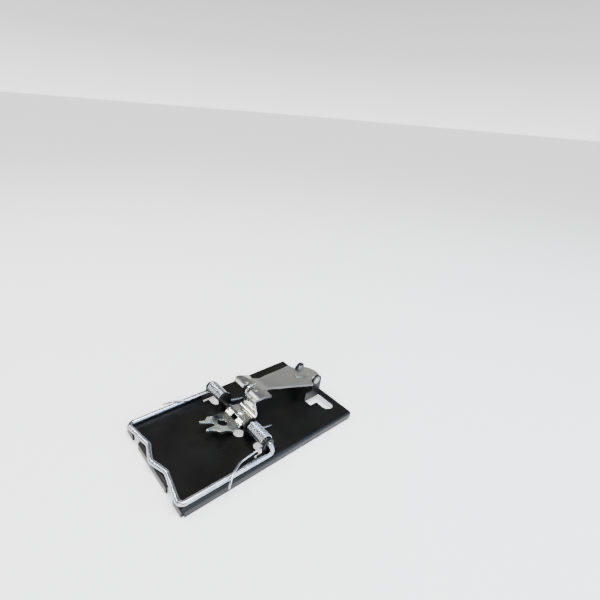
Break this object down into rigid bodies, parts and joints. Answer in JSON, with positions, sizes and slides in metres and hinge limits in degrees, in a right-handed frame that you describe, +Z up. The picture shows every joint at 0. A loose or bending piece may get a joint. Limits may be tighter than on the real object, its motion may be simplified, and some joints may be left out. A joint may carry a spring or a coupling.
{
  "type": "snap mouse trap",
  "caption": "All-metal snap mouse trap with a sheet steel base, a sprung wire striker bar, a bait treadle and a hold-down lever.",
  "frame": {"origin": "on the resting plane, under the middle of the base plate", "axes": "+X to the rear, where the hold-down lever is hinged, +Y to the trap's left seen from its front, +Z up"},
  "size_m": [0.0913, 0.0548, 0.0217],
  "materials": {
    "black_paint": "semi_gloss",
    "zinc_wire": "bright",
    "treadle_zinc": "satin",
    "lever_zinc": "satin"
  },
  "bodies": {
    "base": {"base_plate": "black_paint", "spring_coil_left": "zinc_wire", "spring_coil_right": "zinc_wire"},
    "striker": {"striker_bar": "zinc_wire", "spring_leg_left": "zinc_wire", "spring_leg_right": "zinc_wire"},
    "treadle": {"bait_treadle": "treadle_zinc"},
    "lever": {"latch_lever": "lever_zinc"}
  },
  "joints": [
    {"name": "striker_swing", "type": "hinge", "parent": "base", "child": "striker", "pos_m": [-0.0043, 0, 0.0099], "axis": [0, 1, 0], "range_deg": [0, 184.3], "stiffness_Nm_per_rad": 0.03, "springref_deg": -57.3},
    {"name": "treadle_tilt", "type": "hinge", "parent": "base", "child": "treadle", "pos_m": [-0.0043, 0, 0.0074], "axis": [0, -1, 0], "range_deg": [0, 13]},
    {"name": "lever_lift", "type": "hinge", "parent": "base", "child": "lever", "pos_m": [0.0391, 0, 0.0129], "axis": [0, 1, 0], "range_deg": [0, 100]}
  ]
}
